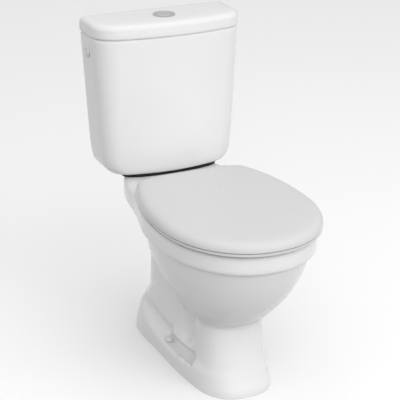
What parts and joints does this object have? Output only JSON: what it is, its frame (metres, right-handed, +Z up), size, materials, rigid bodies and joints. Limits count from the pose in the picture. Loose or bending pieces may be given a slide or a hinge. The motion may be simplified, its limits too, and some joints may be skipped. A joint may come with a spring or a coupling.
{
  "type": "close coupled toilet",
  "caption": "White floor standing washdown toilet with a cistern bolted on its deck, dual flush button in the cistern lid, and a hinged seat ring and lid.",
  "frame": {"origin": "on the floor under the centre of the object's footprint; the wall plane behind the cistern is at y = 0.3345 m", "axes": "+Z up, -Y towards the person who uses it (the front), +X to the right as seen from the front"},
  "size_m": [0.378, 0.669, 0.7785],
  "materials": {
    "china": "white gloss glaze on vitreous china",
    "seat_plastic": "white moulded thermoset, satin gloss",
    "chrome": "bright chromium plate",
    "white_plastic": "white moulded plastic, satin",
    "blue_plastic": "blue moulded plastic, satin",
    "black_rubber": "black EPDM, matt",
    "brass": "turned brass",
    "zinc_steel": "zinc plated steel"
  },
  "bodies": {
    "root": {"button_bezel": "chrome", "button_nut": "white_plastic", "cistern_lid": "china", "cistern_tank": "china", "coupling_pad": "black_rubber", "doughnut_seal": "black_rubber", "fill_pipe": "white_plastic", "fill_valve_head": "white_plastic", "float_arm_pin": "zinc_steel", "floor_cap_left": "white_plastic", "floor_cap_right": "white_plastic", "floor_sleeve_left": "white_plastic", "floor_sleeve_right": "white_plastic", "flush_valve_backnut": "white_plastic", "flush_valve_body": "white_plastic", "flush_valve_washer": "black_rubber", "hinge_pin_left": "chrome", "hinge_pin_right": "chrome", "hinge_post_left": "chrome", "hinge_post_right": "chrome", "inlet_backnut": "brass", "inlet_shank": "brass", "inlet_washer": "black_rubber", "pan": "china", "seat_washer_left": "black_rubber", "seat_washer_right": "black_rubber", "seat_wing_nut_left": "white_plastic", "seat_wing_nut_right": "white_plastic", "side_plug": "white_plastic", "side_plug_nut": "white_plastic", "tank_bolt_left": "brass", "tank_bolt_plate_left": "zinc_steel", "tank_bolt_plate_right": "zinc_steel", "tank_bolt_right": "brass", "tank_bolt_washer_left": "black_rubber", "tank_bolt_washer_right": "black_rubber", "tank_wing_nut_left": "brass", "tank_wing_nut_right": "brass"},
    "seat_ring_body": {"seat_ring": "seat_plastic", "ring_buffer_1": "black_rubber", "ring_buffer_2": "black_rubber", "ring_buffer_3": "black_rubber", "ring_buffer_4": "black_rubber"},
    "seat_lid_body": {"seat_lid": "seat_plastic", "lid_buffer_left": "black_rubber", "lid_buffer_right": "black_rubber"},
    "full_button_body": {"full_flush_button": "chrome", "full_flush_rod": "white_plastic"},
    "half_button_body": {"half_flush_button": "chrome", "half_flush_rod": "white_plastic"},
    "riser_body": {"overflow_riser": "blue_plastic", "riser_seal": "black_rubber"},
    "float_body": {"float_arm": "white_plastic", "float": "blue_plastic"}
  },
  "joints": [
    {"name": "seat_hinge", "type": "hinge", "parent": "root", "child": "seat_ring_body", "pos_m": [0, 0.1195, 0.4215], "axis": [-1, 0, 0], "range_deg": [0, 96]},
    {"name": "lid_hinge", "type": "hinge", "parent": "seat_ring_body", "child": "seat_lid_body", "pos_m": [0, 0.1195, 0.4215], "axis": [1, 0, 0], "range_deg": [-97, 0]},
    {"name": "full_flush_button", "type": "slide", "parent": "root", "child": "full_button_body", "axis": [0, 0, -1], "range_m": [0, 0.006], "stiffness_N_per_m": 900, "springref_m": -0.002},
    {"name": "half_flush_button", "type": "slide", "parent": "root", "child": "half_button_body", "axis": [0, 0, -1], "range_m": [0, 0.006], "stiffness_N_per_m": 900, "springref_m": -0.002},
    {"name": "riser_lift", "type": "slide", "parent": "root", "child": "riser_body", "axis": [0, 0, 1], "range_m": [0, 0.012]},
    {"name": "float_arm_hinge", "type": "hinge", "parent": "root", "child": "float_body", "pos_m": [0.108, 0.2895, 0.688], "axis": [0, 1, 0], "range_deg": [0, 22]}
  ],
  "couplings": [
    {"joint": "riser_lift", "follows": "full_flush_button", "ratio": 2}
  ]
}
